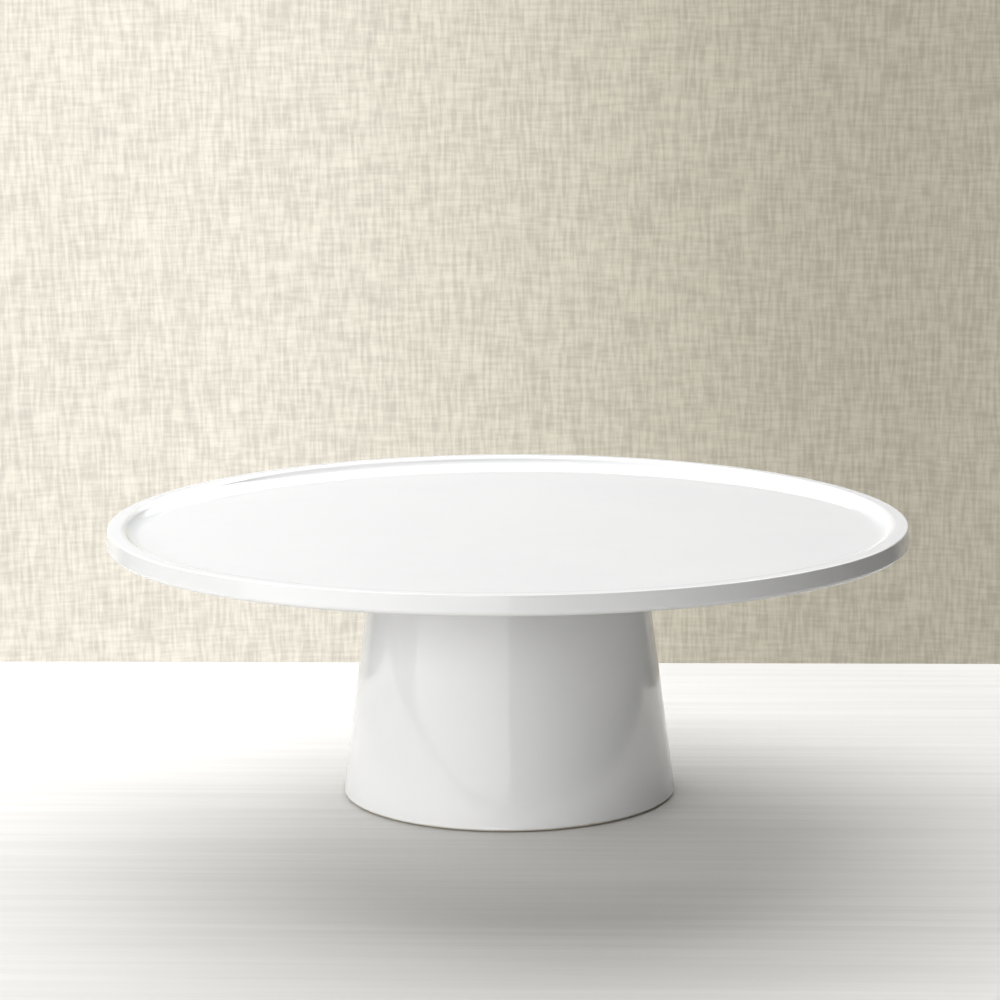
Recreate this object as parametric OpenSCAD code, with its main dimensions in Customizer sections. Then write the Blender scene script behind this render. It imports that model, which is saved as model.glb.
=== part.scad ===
// Cake stand: a flat round plate with a low raised rim, luted with slip to a
// hollow straight-sided pedestal that stands on four thin pads.
// Millimetres. +Z is up. The origin is on the axis, in the plane it stands on.

/* [Overall] */
// Outer diameter of the plate
plate_d = 306.4; // [240:0.1:370]
// Height of the rim's top above the table
stand_h = 107.6; // [80:0.1:160]
// Outer diameter of the pedestal at the foot
base_d = 128.4; // [110:0.1:160]
// Outer diameter of the pedestal where it meets the plate
top_d = 103.3; // [88:0.1:106]

/* [Plate] */
// Height of the plate's outer edge
edge_h = 7.4; // [6.5:0.1:10]
// Lean of the outer edge, which is widest low down, in degrees
edge_lean = 7; // [0:1:12]
// Radius of the outer edge's top corner
edge_top_r = 0.6; // [0.4:0.1:1.2]
// Radius of the outer edge's lower corner
edge_low_r = 1.7; // [1:0.1:2.4]
// Width of the rim, from the widest point to where it starts to fall inwards
rim_w = 5; // [4:0.1:12]
// Height of the rim above the serving floor
lip_h = 3.3; // [2:0.1:4]
// Steepest slope of the rim's inner side, in degrees
lip_slope = 45; // [40:1:60]
// Radius of the round from the rim's top into that slope
lip_r = 4.2; // [1:0.1:5]
// Thickness of the plate over the pedestal
plate_t = 6.6; // [5.6:0.1:9]

/* [Pedestal] */
// Wall thickness at the foot
foot_w = 8; // [7:0.1:10]
// Wall thickness at the top edge, which the plate is luted to
wall_t = 6.6; // [5:0.1:8]
// Radius of the foot's two lower edges
foot_r = 1; // [0.5:0.1:1.2]

/* [Luted joint] */
// Thickness of the slip between the pedestal's top edge and the plate
slip_t = 0.8; // [0.4:0.1:1.5]
// Width of the slip between the plate's collar and the pedestal's wall
slip_gap = 1; // [0.5:0.1:2]
// How far that slip reaches down below the pedestal's top edge
slip_h = 1.6; // [1:0.1:2]
// Wall of the plate's collar
collar_w = 4; // [3:0.1:8]
// Bevel of the collar's lower outer edge, just below the slip
collar_bevel = 0.8; // [0.3:0.1:1.5]
// Radius of the slip that is sponged smooth round the joint
fillet_r = 2.4; // [1:0.1:5]

/* [Foot pads] */
// Diameter of one pad
pad_d = 5; // [3:0.1:5.5]
// Thickness of one pad
pad_t = 0.5; // [0.4:0.1:2]
// Radius of the pad's lower edge
pad_edge_r = 0.3; // [0.1:0.05:0.4]

/* [Hidden] */
$fn = 180;

glaze_white = [0.95, 0.95, 0.94];
slip_cream = [0.90, 0.88, 0.83];
pad_clear = [0.80, 0.81, 0.80];

// Chords along the arc of a small corner and of a larger one
corner_steps = 6;
hollow_steps = 8;

// Heights above the table
floor_z = stand_h - lip_h;
seat_z = floor_z - plate_t;
edge_low_z = stand_h - edge_h;
top_z = seat_z - slip_t;
slip_low_z = top_z - slip_h;
collar_low_z = slip_low_z - collar_bevel;

// The pedestal's outside leans in by out_lean mm for each mm of height
out_lean = (base_d - top_d) / 2 / (seat_z - pad_t);
out_angle = atan(out_lean);
// Its inside leans a little less, so that the wall is thicker at the foot
foot_in_r = base_d / 2 - foot_w;
top_in_r = outside_r(top_z) - wall_t;
in_lean = (foot_in_r - top_in_r) / (top_z - pad_t);
in_angle = atan(in_lean);

// The plate's collar stands inside the pedestal's top edge
collar_r = top_in_r - slip_gap;
// Centre of the smoothed fillet, which touches the pedestal and the plate
fillet_z = seat_z - fillet_r;
fillet_c = outside_r(fillet_z) + fillet_r / cos(out_angle);
// Radius of the flat seat on the plate's underside
seat_r = fillet_c + 1;

// Outer and inner radius of the pedestal's two straight sides at a height
function outside_r(z) = base_d / 2 - out_lean * (z - pad_t);
function inside_r(z) = foot_in_r - in_lean * (z - pad_t);

// Points along an arc, from angle a0 to angle a1
function arc(c, r, a0, a1, steps) =
    [for (i = [0:steps]) let (a = a0 + (a1 - a0) * i / steps) c + r * [cos(a), sin(a)]];

// Half of the plate's section, from the middle of the serving floor outwards.
// The rim's inner side is two arcs that meet at the steepest slope: a hollow off
// the floor, then a round onto the rim's top.
function plate_section() =
    let (
        well_r = lip_h / (1 - cos(lip_slope)) - lip_r,
        lip_c = [plate_d / 2 - rim_w, stand_h - lip_r],
        well_c = [lip_c.x - (lip_r + well_r) * sin(lip_slope), floor_z + well_r],
        low_c = [plate_d / 2 - edge_low_r, edge_low_z + edge_low_r],
        top_c_z = stand_h - edge_top_r,
        top_c_in = ((top_c_z - low_c.y) * sin(edge_lean) - edge_low_r + edge_top_r) / cos(edge_lean),
        top_c = [low_c.x - top_c_in, top_c_z],
        under_angle = atan((edge_low_z - seat_z) / (low_c.x - seat_r))
    )
    concat(
        [[0, floor_z]],
        arc(well_c, well_r, -90, lip_slope - 90, hollow_steps),
        arc(lip_c, lip_r, 90 + lip_slope, 90, hollow_steps),
        arc(top_c, edge_top_r, 90, edge_lean, corner_steps),
        arc(low_c, edge_low_r, edge_lean, under_angle - 90, hollow_steps),
        [[seat_r, seat_z], [collar_r, seat_z], [collar_r, slip_low_z],
         [collar_r - collar_bevel, collar_low_z], [collar_r - collar_w, collar_low_z],
         [collar_r - collar_w - (seat_z - collar_low_z), seat_z], [0, seat_z]]
    );

// Half of the pedestal's section, from the foot's outer edge upwards
function pedestal_section() =
    let (
        foot_z = pad_t + foot_r,
        foot_out_c = [outside_r(foot_z) - foot_r / cos(out_angle), foot_z],
        foot_in_c = [inside_r(foot_z) + foot_r / cos(in_angle), foot_z]
    )
    concat(
        arc(foot_out_c, foot_r, -90, out_angle, corner_steps),
        [[outside_r(top_z), top_z], [top_in_r, top_z]],
        arc(foot_in_c, foot_r, 180 + in_angle, 270, corner_steps)
    );

// Half of the slip's section: the smoothed fillet, the layer on the pedestal's
// top edge and the part pressed down beside the collar
function slip_section() =
    concat(
        arc([fillet_c, fillet_z], fillet_r, 90, 180 + out_angle, hollow_steps),
        [[outside_r(top_z), top_z], [top_in_r, top_z], [inside_r(slip_low_z), slip_low_z],
         [collar_r, slip_low_z], [collar_r, seat_z]]
    );

module plate() {
    color(glaze_white) rotate_extrude() polygon(plate_section());
}

module pedestal() {
    color(glaze_white) rotate_extrude() polygon(pedestal_section());
}

module slip_joint() {
    color(slip_cream) rotate_extrude() polygon(slip_section());
}

// One stick-on pad, in the middle of the foot's width; the four stand
// a quarter turn apart
module foot_pad(i) {
    ring_r = base_d / 2 - foot_w / 2;
    edge_c = [pad_d / 2 - pad_edge_r, pad_edge_r];
    color(pad_clear)
    rotate(90 * i - 45)
    translate([ring_r, 0, 0])
    rotate_extrude()
    polygon(concat([[0, 0]], arc(edge_c, pad_edge_r, -90, 0, corner_steps),
                   [[pad_d / 2, pad_t], [0, pad_t]]));
}

plate();
pedestal();
slip_joint();
foot_pad(1);  // foot_pad_1
foot_pad(2);  // foot_pad_2
foot_pad(3);  // foot_pad_3
foot_pad(4);  // foot_pad_4
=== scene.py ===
"""Looks for the cake stand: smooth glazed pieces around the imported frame, on a plain table.

Everything is in metres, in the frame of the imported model: +Z up, origin on the axis,
in the plane that the pads stand on.
"""
import math

import bpy
import numpy as np
from mathutils import Matrix, Vector


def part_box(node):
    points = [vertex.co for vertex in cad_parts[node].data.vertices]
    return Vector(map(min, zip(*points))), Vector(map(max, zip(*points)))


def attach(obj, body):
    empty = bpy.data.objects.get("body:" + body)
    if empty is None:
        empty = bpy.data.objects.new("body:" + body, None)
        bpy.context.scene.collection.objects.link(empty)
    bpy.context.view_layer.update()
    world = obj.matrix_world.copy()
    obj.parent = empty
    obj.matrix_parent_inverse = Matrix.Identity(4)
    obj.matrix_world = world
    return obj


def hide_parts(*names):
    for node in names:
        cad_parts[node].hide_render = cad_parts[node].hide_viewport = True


MM = 0.001

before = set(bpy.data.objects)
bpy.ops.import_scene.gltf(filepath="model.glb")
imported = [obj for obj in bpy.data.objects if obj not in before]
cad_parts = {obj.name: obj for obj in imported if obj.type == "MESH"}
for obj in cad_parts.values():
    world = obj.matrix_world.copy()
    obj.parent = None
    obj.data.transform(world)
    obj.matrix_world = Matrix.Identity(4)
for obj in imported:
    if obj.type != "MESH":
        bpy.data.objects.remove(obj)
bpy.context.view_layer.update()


# ---------------------------------------------------------------- measures of the frame

plate_low, plate_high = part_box("plate")
pedestal_low, pedestal_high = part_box("pedestal")
slip_low, slip_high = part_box("slip_joint")

PLATE_R = plate_high.x
RIM_Z = plate_high.z
FOOT_Z = pedestal_low.z
SEAT_Z = slip_high.z
TOP_Z = pedestal_high.z
SLIP_LOW_Z = slip_low.z
COLLAR_LOW_Z = plate_low.z

# Plate: edge, rim and serving floor
EDGE_H = 7.4 * MM
EDGE_LEAN = math.radians(7)
EDGE_TOP_R = 0.6 * MM
EDGE_LOW_R = 1.7 * MM
RIM_W = 5.0 * MM
LIP_H = 3.3 * MM
LIP_SLOPE = math.radians(45)
LIP_R = 4.2 * MM
WELL_R = LIP_H / (1 - math.cos(LIP_SLOPE)) - LIP_R
FLOOR_Z = RIM_Z - LIP_H

# Pedestal: radii at the foot and at the top edge, outside and inside
FOOT_R = 1.0 * MM
BASE_R = 64.2 * MM
TOP_R = 51.65 * MM
FOOT_W = 8.0 * MM
WALL_T = 6.6 * MM
OUT_LEAN = (BASE_R - TOP_R) / (SEAT_Z - FOOT_Z)


def outside_r(z):
    """Radius of the pedestal's outside at a height."""
    return BASE_R - OUT_LEAN * (z - FOOT_Z)


TOP_IN_R = outside_r(TOP_Z) - WALL_T
FOOT_IN_R = BASE_R - FOOT_W
IN_LEAN = (FOOT_IN_R - TOP_IN_R) / (TOP_Z - FOOT_Z)


def inside_r(z):
    """Radius of the pedestal's inside at a height."""
    return FOOT_IN_R - IN_LEAN * (z - FOOT_Z)


OUT_ANGLE = math.atan(OUT_LEAN)
IN_ANGLE = math.atan(IN_LEAN)

# Luted joint
SLIP_GAP = 1.0 * MM
COLLAR_W = 4.0 * MM
COLLAR_BEVEL = 0.8 * MM
COLLAR_R = TOP_IN_R - SLIP_GAP
FILLET_R = 2.4 * MM
FILLET_Z = SEAT_Z - FILLET_R
FILLET_C = outside_r(FILLET_Z) + FILLET_R / math.cos(OUT_ANGLE)
SEAT_R = FILLET_C + 1.0 * MM

# Firing: how far the plate sank at its two sides, and leans to one of them
DROOP = 1.2 * MM
TILT = 0.4 * MM

# Segments round the axis
PLATE_SEGMENTS = 512
PEDESTAL_SEGMENTS = 384
DRUM_SEGMENTS = 96


# ---------------------------------------------------------------- turned shapes

def arc(centre, radius, start, end, steps):
    """Points along an arc, from angle start to angle end, in radians."""
    angles = np.linspace(start, end, steps + 1)
    return [(centre[0] + radius * math.cos(a), centre[1] + radius * math.sin(a)) for a in angles]


def line(start, end, steps):
    """Points between two ends, without the ends."""
    return [(start[0] + (end[0] - start[0]) * i / steps, start[1] + (end[1] - start[1]) * i / steps)
            for i in range(1, steps)]


def fired(co):
    """Moves points of the plate as the kiln did: nothing over the pedestal, most at the rim."""
    x, y, z = co.T
    r = np.hypot(x, y)
    reach = np.clip((r - SEAT_R) / (PLATE_R - SEAT_R), 0, None) ** 2
    side = np.divide(x, r, out=np.zeros_like(x), where=r > 0)
    moved = co.copy()
    moved[:, 2] -= reach * (DROOP * side ** 2 + TILT * side)
    return moved


# A point nearer to the axis than this is on it
ON_AXIS = 1e-7


def turned(name, outline, segments, move=None, closed=True):
    """A solid of revolution. outline is a list of (r, z, pool, sharp): pool is how much glaze
    gathers at that point, from -1 on an edge to 1 in a hollow, and sharp keeps a crease there.
    An outline that isn't closed makes an open skin."""
    radii = np.array([p[0] for p in outline])
    heights = np.array([p[1] for p in outline])
    inside_out = np.sum(radii * np.roll(heights, -1) - np.roll(radii, -1) * heights) < 0
    turn = np.arange(segments) * 2 * math.pi / segments
    coords, faces, first, pools = [], [], [], []
    for r, z, pool in zip(radii, heights, [p[2] for p in outline]):
        first.append(len(coords))
        if r < ON_AXIS:
            coords.append((0, 0, z))
            pools.append(pool)
        else:
            coords.extend(zip(r * np.cos(turn), r * np.sin(turn), np.full(segments, z)))
            pools.extend([pool] * segments)
    count = len(outline)
    sharp_edges = set()
    for i in range(count if closed else count - 1):
        j = (i + 1) % count
        a, b = first[i], first[j]
        on_axis_a, on_axis_b = radii[i] < ON_AXIS, radii[j] < ON_AXIS
        if on_axis_a and on_axis_b:
            continue
        for k in range(segments):
            n = (k + 1) % segments
            if on_axis_a:
                faces.append((a, b + n, b + k))
            elif on_axis_b:
                faces.append((a + k, a + n, b))
            else:
                faces.append((a + k, a + n, b + n, b + k))
        if outline[i][3] and not on_axis_a:
            sharp_edges.update(frozenset((a + k, a + (k + 1) % segments)) for k in range(segments))
    coords = np.array(coords, float)
    if move:
        coords = move(coords)
    mesh = bpy.data.meshes.new(name)
    mesh.from_pydata(coords.tolist(), [], [face[::-1] for face in faces] if inside_out else faces)
    mesh.attributes.new("pool", "FLOAT", "POINT").data.foreach_set("value", pools)
    mesh.polygons.foreach_set("use_smooth", [True] * len(mesh.polygons))
    creases = mesh.attributes.new("sharp_edge", "BOOLEAN", "EDGE")
    creases.data.foreach_set("value", [frozenset(e.vertices) in sharp_edges for e in mesh.edges])
    mesh.update()
    obj = bpy.data.objects.new(name, mesh)
    bpy.context.scene.collection.objects.link(obj)
    return obj


def smooth(points, pool=0.0):
    """Outline points without a crease."""
    return [(r, z, pool, False) for r, z in points]


def swell(points, pool):
    """Outline points whose pool rises to its full value in the middle of the stretch."""
    last = len(points) - 1
    return [(r, z, pool * math.sin(math.pi * i / last), False) for i, (r, z) in enumerate(points)]


def plate_outline():
    """The plate's half section, from the middle of the serving floor outwards."""
    half = math.pi / 2
    lip_c = (PLATE_R - RIM_W, RIM_Z - LIP_R)
    well_c = (lip_c[0] - (LIP_R + WELL_R) * math.sin(LIP_SLOPE), FLOOR_Z + WELL_R)
    edge_low_z = RIM_Z - EDGE_H
    low_c = (PLATE_R - EDGE_LOW_R, edge_low_z + EDGE_LOW_R)
    top_c_z = RIM_Z - EDGE_TOP_R
    top_c_in = (top_c_z - low_c[1]) * math.sin(EDGE_LEAN) - EDGE_LOW_R + EDGE_TOP_R
    top_c_in /= math.cos(EDGE_LEAN)
    under_angle = math.atan((edge_low_z - SEAT_Z) / (low_c[0] - SEAT_R))

    well = arc(well_c, WELL_R, -half, LIP_SLOPE - half, 14)
    lip = arc(lip_c, LIP_R, half + LIP_SLOPE, half, 14)
    top = arc((low_c[0] - top_c_in, top_c_z), EDGE_TOP_R, half, EDGE_LEAN, 8)
    low = arc(low_c, EDGE_LOW_R, EDGE_LEAN, under_angle - half, 12)
    collar_in = (COLLAR_R - COLLAR_W, COLLAR_LOW_Z)
    collar_foot = (collar_in[0] - (SEAT_Z - COLLAR_LOW_Z), SEAT_Z)
    under = (SEAT_R, SEAT_Z)
    outline = smooth([(0, FLOOR_Z)] + line((0, FLOOR_Z), well[0], 24))
    outline += swell(well, 1.0)
    # The well's last point is the lip's first
    outline += swell(lip, -0.5)[1:]
    outline += smooth(line(lip[-1], top[0], 6))
    outline += swell(top, -1.0)
    outline += smooth(line(top[-1], low[0], 6))
    outline += swell(low, -0.6)
    outline += smooth(line(low[-1], under, 20) + [under], 0.0)
    outline += smooth([(COLLAR_R, SEAT_Z)], 0.4)
    outline += [(COLLAR_R, SLIP_LOW_Z, 0.0, True)]
    outline += smooth([(COLLAR_R - COLLAR_BEVEL, COLLAR_LOW_Z), collar_in], -0.3)
    outline += smooth([collar_foot], 0.6)
    outline += smooth([(0, SEAT_Z)])
    return outline


def pedestal_outline():
    """The pedestal's half section, from the foot's outer edge upwards."""
    half = math.pi / 2
    foot_c_z = FOOT_Z + FOOT_R
    foot_out = arc((outside_r(foot_c_z) - FOOT_R / math.cos(OUT_ANGLE), foot_c_z), FOOT_R,
                   -half, OUT_ANGLE, 10)
    foot_in = arc((inside_r(foot_c_z) + FOOT_R / math.cos(IN_ANGLE), foot_c_z), FOOT_R,
                  math.pi + IN_ANGLE, 3 * half, 10)
    top_out = (outside_r(TOP_Z), TOP_Z)
    top_in = (TOP_IN_R, TOP_Z)
    outline = smooth(foot_out)
    outline += smooth(line(foot_out[-1], top_out, 30))
    outline += [(*top_out, 0.0, True), (*top_in, 0.0, True)]
    outline += smooth(line(top_in, foot_in[0], 30))
    outline += smooth(foot_in)
    outline += smooth(line(foot_in[-1], foot_out[0], 6))
    return outline


def slip_outline():
    """The slip's half section, from the fillet's upper end downwards."""
    fillet = arc((FILLET_C, FILLET_Z), FILLET_R, math.pi / 2, math.pi + OUT_ANGLE, 14)
    outline = swell(fillet, 1.0)
    outline[0] = (*fillet[0], 0.0, True)
    outline[-1] = (*fillet[-1], 0.0, True)
    outline += [(outside_r(TOP_Z), TOP_Z, 0.0, True), (TOP_IN_R, TOP_Z, 0.0, True),
                (inside_r(SLIP_LOW_Z), SLIP_LOW_Z, 0.5, True), (COLLAR_R, SLIP_LOW_Z, 0.5, True),
                (COLLAR_R, SEAT_Z, 0.0, True)]
    return outline


plate = turned("plate_glazed", plate_outline(), PLATE_SEGMENTS, fired)
pedestal = turned("pedestal_glazed", pedestal_outline(), PEDESTAL_SEGMENTS)
slip = turned("slip_fillet", slip_outline(), PEDESTAL_SEGMENTS, fired)
for piece, node, slot in ((plate, "plate", "plate_glaze"), (pedestal, "pedestal", "pedestal_glaze"),
                          (slip, "slip_joint", "joint_slip")):
    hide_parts(node)
    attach(piece, "root")


# ---------------------------------------------------------------- materials

def node_adder(tree):
    """A short way to add a node: settings are its properties, and each input is a value or a
    socket to link from. Inputs i0, i1 and so on are named by their place."""
    def add(kind, settings=None, **inputs):
        node = tree.nodes.new(kind)
        for key, value in (settings or {}).items():
            setattr(node, key, value)
        for key, value in inputs.items():
            by_place = key[0] == "i" and key[1:].isdigit()
            socket = node.inputs[int(key[1:]) if by_place else key]
            if isinstance(value, bpy.types.NodeSocket):
                tree.links.new(value, socket)
            else:
                socket.default_value = value
        return node

    return add


def new_material(name):
    """A material, its link function, its shader and its node adder."""
    mat = bpy.data.materials.new(name)
    mat.use_nodes = True
    tree = mat.node_tree
    return mat, tree.links.new, tree.nodes["Principled BSDF"], node_adder(tree)


def noise(add, place, scale, detail=2.0, rough=0.5):
    """Grey noise around 0.5, scale features per metre."""
    node = add("ShaderNodeTexNoise", Vector=place, Scale=scale, Detail=detail, Roughness=rough)
    return node.outputs["Fac"]


def maths(add, operation, a, b=0.0):
    """One step of arithmetic on two numbers or sockets."""
    return add("ShaderNodeMath", {"operation": operation}, i0=a, i1=b).outputs[0]


def product(add, a, b):
    return maths(add, "MULTIPLY", a, b)


def total(add, a, b):
    return maths(add, "ADD", a, b)


def ramp(add, value, low, high, to_low=0.0, to_high=1.0):
    """value's stretch from low to high, eased into the range from to_low to to_high."""
    node = add("ShaderNodeMapRange", {"interpolation_type": "SMOOTHSTEP"})
    for key, number in (("From Min", low), ("From Max", high), ("To Min", to_low), ("To Max", to_high)):
        node.inputs[key].default_value = number
    value.node.id_data.links.new(value, node.inputs["Value"])
    return node.outputs["Result"]


def blend(add, share, first, second):
    """A colour from first, at share 0, to second, at share 1."""
    node = add("ShaderNodeMix", {"data_type": "RGBA"})
    for key, value in (("Factor", share), ("A", first), ("B", second)):
        socket = next(s for s in node.inputs if s.name == key and s.enabled)
        if isinstance(value, bpy.types.NodeSocket):
            value.node.id_data.links.new(value, socket)
        else:
            socket.default_value = value
    return next(s for s in node.outputs if s.enabled)


# Heights of the glaze's relief, and of the wiped line on the foot
WAVE_H = 0.03 * MM
PEEL_H = 0.0016 * MM
PINHOLE_H = 0.05 * MM
BEAD_H = 0.08 * MM
GRAIN_H = 0.03 * MM
WIPE_H = 0.7 * MM
WIPE_WANDER = 0.8 * MM
# Half width of the line's soft edge, and the heights above the line where the bead is fullest
# and where it ends
WIPE_BLUR = 0.08 * MM
WIPE_LOW = 0.1 * MM
BEAD_W = 0.9 * MM

GLAZE_IOR = 1.52
SILICONE_IOR = 1.41

GLAZE_WHITE = (0.81, 0.813, 0.812, 1)
GLAZE_SHADE = (0.793, 0.798, 0.798, 1)
GLAZE_THICK = (0.77, 0.79, 0.787, 1)
GLAZE_THIN = (0.805, 0.787, 0.75, 1)
BISQUE = (0.70, 0.655, 0.57, 1)
BISQUE_DARK = (0.60, 0.55, 0.46, 1)
PAD_CLEAR = (0.80, 0.82, 0.81, 1)
PAD_MILKY = (0.70, 0.72, 0.70, 1)
DUST = (0.45, 0.43, 0.40, 1)


def glaze(name, foot_ring=False):
    """White gloss glaze: cooler where it pools in a hollow, warmer where it runs thin over an
    edge, with slow waves, a fine orange peel and a few pinholes. foot_ring leaves the clay bare
    below the line to which the foot was wiped before firing."""
    mat, link, shader, add = new_material(name)
    place = add("ShaderNodeTexCoord").outputs["Object"]
    pool = add("ShaderNodeAttribute", {"attribute_name": "pool"}).outputs["Fac"]
    clouds = noise(add, place, 16, 3)
    specks = noise(add, place, 420, 2)
    thickness = total(add, pool, product(add, maths(add, "SUBTRACT", clouds, 0.5), 0.5))

    colour = blend(add, ramp(add, clouds, 0.35, 0.65), GLAZE_WHITE, GLAZE_SHADE)
    colour = blend(add, ramp(add, thickness, 0.1, 1.1, 0, 0.75), colour, GLAZE_THICK)
    colour = blend(add, ramp(add, thickness, -0.2, -1.1, 0, 0.6), colour, GLAZE_THIN)
    colour = blend(add, ramp(add, specks, 0.60, 0.72, 0, 0.12), colour, GLAZE_THIN)

    gloss = total(add, ramp(add, clouds, 0.3, 0.7, 0.035, 0.055), ramp(add, specks, 0.55, 0.75, 0, 0.02))

    waves = product(add, noise(add, place, 60, 1), WAVE_H)
    peel = product(add, noise(add, place, 800, 1), PEEL_H)
    cells = add("ShaderNodeTexVoronoi", Vector=place, Scale=70.0)
    pinhole = ramp(add, cells.outputs["Distance"], 0.0, 0.018, 1, 0)
    rare = maths(add, "GREATER_THAN", cells.outputs["Color"], 0.86)
    holes = product(add, product(add, pinhole, rare), -PINHOLE_H)
    relief = total(add, total(add, waves, peel), holes)

    if foot_ring:
        height = add("ShaderNodeSeparateXYZ", Vector=place).outputs["Z"]
        wander = product(add, maths(add, "SUBTRACT", noise(add, place, 45, 3), 0.5), WIPE_WANDER)
        above = maths(add, "SUBTRACT", maths(add, "SUBTRACT", height, wander), FOOT_Z + WIPE_H)
        bare = ramp(add, above, WIPE_BLUR, -WIPE_BLUR)
        bead = product(add, ramp(add, above, BEAD_W, WIPE_LOW), maths(add, "SUBTRACT", 1.0, bare))
        grain = noise(add, place, 1500, 3, 0.7)
        clay = blend(add, ramp(add, grain, 0.35, 0.7), BISQUE, BISQUE_DARK)
        colour = blend(add, product(add, bead, 0.5), colour, GLAZE_THICK)
        colour = blend(add, bare, colour, clay)
        gloss = total(add, product(add, gloss, maths(add, "SUBTRACT", 1.0, bare)),
                      product(add, bare, 0.78))
        relief = total(add, relief, product(add, bead, BEAD_H))
        relief = total(add, relief, product(add, product(add, grain, bare), GRAIN_H))

    bump = add("ShaderNodeBump", Height=relief, Strength=1.0, Distance=1.0)
    link(colour, shader.inputs["Base Color"])
    link(gloss, shader.inputs["Roughness"])
    link(bump.outputs[0], shader.inputs["Normal"])
    shader.inputs["IOR"].default_value = GLAZE_IOR
    return mat


plate.data.materials.append(glaze("plate_glaze"))
pedestal.data.materials.append(glaze("pedestal_glaze", foot_ring=True))
slip.data.materials.append(glaze("joint_glaze"))


def pad_material():
    """Clear silicone gone a little milky, with dust on it."""
    mat, link, shader, add = new_material("clear_pad")
    place = add("ShaderNodeTexCoord").outputs["Object"]
    cloud = noise(add, place, 500, 3)
    dust = ramp(add, noise(add, place, 2600, 2), 0.58, 0.72)
    colour = blend(add, ramp(add, cloud, 0.3, 0.7), PAD_CLEAR, PAD_MILKY)
    colour = blend(add, product(add, dust, 0.5), colour, DUST)
    link(colour, shader.inputs["Base Color"])
    link(ramp(add, cloud, 0.3, 0.7, 0.28, 0.45), shader.inputs["Roughness"])
    bump = add("ShaderNodeBump", Height=product(add, cloud, 0.02 * MM), Strength=1.0, Distance=1.0)
    link(bump.outputs[0], shader.inputs["Normal"])
    shader.inputs["IOR"].default_value = SILICONE_IOR
    shader.inputs["Transmission Weight"].default_value = 0.45
    return mat


clear_pad = pad_material()
for i in range(1, 5):
    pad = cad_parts[f"foot_pad_{i}"]
    pad.data.materials.clear()
    pad.data.materials.append(clear_pad)


# ---------------------------------------------------------------- camera

FOCAL = 115.0
SENSOR = 36.0
CAM_ELEVATION = 0.1707
# Half of the nominal plate's diameter, which the camera's distance and aim are multiples of
CAM_UNIT = 0.1525
CAM_DISTANCE = 8.0232 * CAM_UNIT
CAM_ROLL = -0.0076
CAM_AIM = Vector((-0.00285, 0.0, RIM_Z + 0.0411 * CAM_UNIT))

camera_data = bpy.data.cameras.new("camera")
camera_data.sensor_width = SENSOR
camera_data.lens = FOCAL
camera = bpy.data.objects.new("camera", camera_data)
bpy.context.scene.collection.objects.link(camera)
bpy.context.scene.camera = camera
back = Vector((0, -math.cos(CAM_ELEVATION), math.sin(CAM_ELEVATION)))
level_up = Vector((0, math.sin(CAM_ELEVATION), math.cos(CAM_ELEVATION)))
level_right = Vector((1, 0, 0))
right = level_right * math.cos(CAM_ROLL) + level_up * math.sin(CAM_ROLL)
up = level_up * math.cos(CAM_ROLL) - level_right * math.sin(CAM_ROLL)
where = CAM_AIM + back * CAM_DISTANCE
camera.matrix_world = Matrix.Translation(where) @ Matrix((right, up, back)).transposed().to_4x4()
camera_data.clip_start = 0.05
camera_data.clip_end = 20


# ---------------------------------------------------------------- stage and light

def stage_box(name, low, high, material):
    """A plain box of the stage, which isn't part of the object."""
    corners = [(x, y, z) for z in (low[2], high[2])
               for y in (low[1], high[1]) for x in (low[0], high[0])]
    quads = [(0, 2, 3, 1), (4, 5, 7, 6), (0, 1, 5, 4), (2, 6, 7, 3), (0, 4, 6, 2), (1, 3, 7, 5)]
    mesh = bpy.data.meshes.new(name)
    mesh.from_pydata(corners, [], quads)
    obj = bpy.data.objects.new(name, mesh)
    bpy.context.scene.collection.objects.link(obj)
    mesh.materials.append(material)
    return obj


LIME = (0.70, 0.69, 0.672, 1)
GRAIN = (0.64, 0.63, 0.612, 1)
BAND = (0.65, 0.64, 0.622, 1)


def table_material():
    """Pale limed wood, with faint long grain."""
    mat, link, shader, add = new_material("pale_table")
    place = add("ShaderNodeTexCoord").outputs["Object"]
    along = add("ShaderNodeMapping", Vector=place, Scale=(4.0, 170.0, 1.0)).outputs[0]
    wide = add("ShaderNodeMapping", Vector=place, Scale=(1.5, 30.0, 1.0)).outputs[0]
    grain = noise(add, along, 1, 5, 0.6)
    bands = noise(add, wide, 1, 2)
    colour = blend(add, ramp(add, grain, 0.3, 0.7), LIME, GRAIN)
    colour = blend(add, ramp(add, bands, 0.35, 0.75, 0, 0.5), colour, BAND)
    link(colour, shader.inputs["Base Color"])
    link(ramp(add, grain, 0.3, 0.7, 0.62, 0.72), shader.inputs["Roughness"])
    shader.inputs["Specular IOR Level"].default_value = 0.15
    return mat


# The slab's far edge runs a little askew behind the stand
TABLE_BACK = 0.222
TABLE_TURN = math.radians(-2.6)
table = stage_box("table", (-0.95, -1.0, -0.03), (0.42, 0.0, 0.0), table_material())
table.location = (0, TABLE_BACK, 0)
table.rotation_euler = (0, 0, TABLE_TURN)

# The linen's threads across, and their uneven stretches along, per metre
THREAD = 280.0
SLUB = 34.0
# The round wall's radius and its lower and upper ends
DRUM_R = 2.2
DRUM_LOW = -0.9
DRUM_HIGH = 2.5
WALL_COLOUR = (0.60, 0.555, 0.45, 1)
WALL_PALE = (0.60, 0.567, 0.495, 1)
# Glow of the whole room, of the wall above the linen, and what the key light adds higher up
ROOM_GLOW = 0.04
TOP_GLOW = 2.85
KEY_GLOW = 3.6


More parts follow.
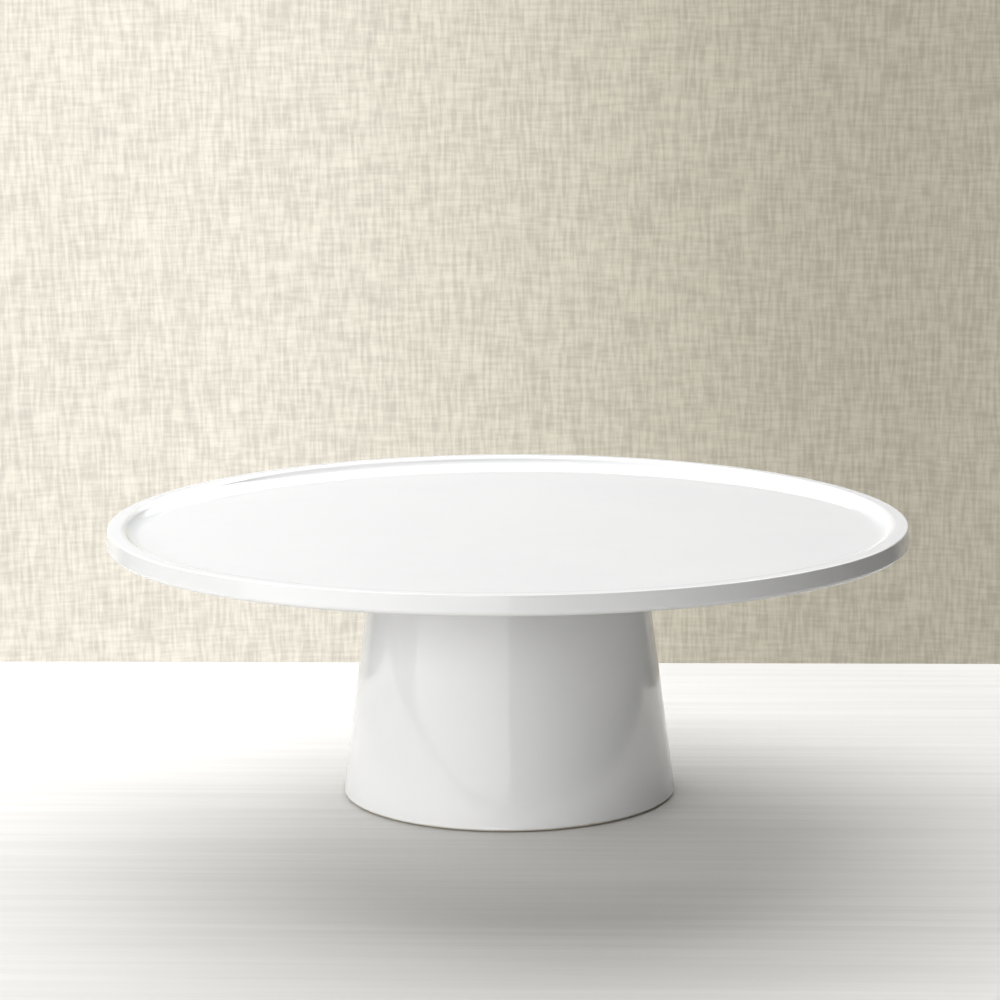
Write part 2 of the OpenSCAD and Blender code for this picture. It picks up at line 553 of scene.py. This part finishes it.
def wall_material():
    """A round linen wall that glows only behind the stand, brighter and paler to the left. Above
    the linen is a white glow, out of the picture, whose upper part is the key light."""
    mat = bpy.data.materials.new("linen_wall")
    mat.use_nodes = True
    tree = mat.node_tree
    tree.nodes.remove(tree.nodes["Principled BSDF"])
    add = node_adder(tree)
    place = add("ShaderNodeTexCoord").outputs["Object"]
    axes = add("ShaderNodeSeparateXYZ", Vector=place)
    x, y, z = (axes.outputs[k] for k in "XYZ")
    upright = add("ShaderNodeMapping", Vector=place, Scale=(THREAD, THREAD, SLUB)).outputs[0]
    level_way = add("ShaderNodeMapping", Vector=place, Scale=(SLUB, SLUB, THREAD)).outputs[0]
    warp = noise(add, upright, 1, 3)
    weft = noise(add, level_way, 1, 3)
    weave = total(add, ramp(add, warp, 0.3, 0.7, -0.11, 0.11), ramp(add, weft, 0.3, 0.7, -0.07, 0.07))
    across = ramp(add, x, 0.45, -0.35, 0.70, 1.42)
    corner = product(add, ramp(add, x, -0.1, -0.75), ramp(add, z, -0.1, 0.35))
    level = product(add, across, total(add, weave, 1.0))
    level = total(add, level, product(add, corner, 0.08))
    level = product(add, level, ramp(add, y, 1.5, 1.8))
    level = product(add, level, ramp(add, z, 0.42, 0.30))
    tint = blend(add, ramp(add, x, 0.3, -0.3), WALL_COLOUR, WALL_PALE)
    linen = add("ShaderNodeEmission", Color=tint, Strength=total(add, level, ROOM_GLOW))
    upper = total(add, ramp(add, x, 0.3, -0.6, 0.38, 0.62), ramp(add, x, 0.5, 1.3, 0, -0.22))
    upper = product(add, upper, ramp(add, z, 0.30, 0.42))
    top = total(add, ramp(add, z, 0.75, 1.1, 0, TOP_GLOW), ramp(add, z, 1.3, 1.7, 0, KEY_GLOW))
    top = product(add, top, ramp(add, x, 1.65, 1.2))
    white = product(add, total(add, upper, top), ramp(add, y, 0.8, 1.6))
    white = add("ShaderNodeEmission", Strength=white)
    glow = add("ShaderNodeAddShader", i0=linen.outputs[0], i1=white.outputs[0])
    tree.links.new(glow.outputs[0], tree.nodes["Material Output"].inputs[0])
    return mat


drum_outline = [(DRUM_R, DRUM_LOW, 0, False), (DRUM_R, DRUM_HIGH, 0, False)]
drum = turned("wall", drum_outline, DRUM_SEGMENTS, closed=False)
drum.data.materials.append(wall_material())


def panel(name, centre, facing, size, glow):
    """A flat rectangular light of even glow, which the camera itself doesn't see."""
    data = bpy.data.lights.new(name, "AREA")
    data.shape = "RECTANGLE"
    data.size, data.size_y = size
    data.energy = glow * math.pi * size[0] * size[1]
    obj = bpy.data.objects.new(name, data)
    bpy.context.scene.collection.objects.link(obj)
    obj.rotation_euler = Vector(facing).to_track_quat("-Z", "Y").to_euler()
    obj.location = centre
    obj.visible_camera = False
    # What stands low behind the table lights it, but the glaze mirrors the linen there
    obj.visible_glossy = not name.startswith("low_back")


def standing_panel(name, start, end, low, high, glow, radius=1.75):
    """A panel that stands on a chord of a circle round the stand, from one bearing to another
    in degrees. Bearing 0 is toward the camera and negative is to its left."""
    a, b = (Vector((radius * math.sin(math.radians(t)), -radius * math.cos(math.radians(t)), 0))
            for t in (start, end))
    middle = (a + b) / 2
    panel(name, (middle.x, middle.y, (low + high) / 2), (-middle.x, -middle.y, 0),
          ((b - a).length, high - low), glow)


# Standing panels: bearings from and to, heights from and to, glow. In front a tall softbox
# reaches from the left round to the camera; behind, low panels light the table's far side.
for name, start, end, low, high, glow in (
        ("softbox_low", -75, 0, 0.0, 0.3, 1.35),
        ("softbox_core", -75, -15, 0.3, 0.75, 4.4),
        ("softbox_side", -15, 0, 0.3, 0.75, 4.9),
        ("softbox_top", -75, 0, 0.75, 1.4, 1.5),
        ("low_back_left", -180, -150, 0.0, 0.3, 0.6),
        ("low_back_right", 150, 180, 0.0, 0.3, 0.8)):
    standing_panel(name, start, end, low, high, glow)

# Overhead panels: middle, size, glow
CEILING = 1.3
DOWN = (0, 0.002, -1)
for name, x, y, width, depth, glow in (
        ("overhead_back", -0.25, 0.665, 1.9, 1.07, 2.4),
        ("overhead_front_left", -0.9, -0.9, 0.6, 0.6, 4.0)):
    panel(name, (x, y, CEILING), DOWN, (width, depth), glow)

bpy.context.scene.view_settings.view_transform = "Standard"
bpy.context.scene.world = bpy.data.worlds.new("studio")
bpy.context.scene.world.use_nodes = True
surround = bpy.context.scene.world.node_tree.nodes["Background"]
surround.inputs[0].default_value = (ROOM_GLOW, ROOM_GLOW, ROOM_GLOW, 1)
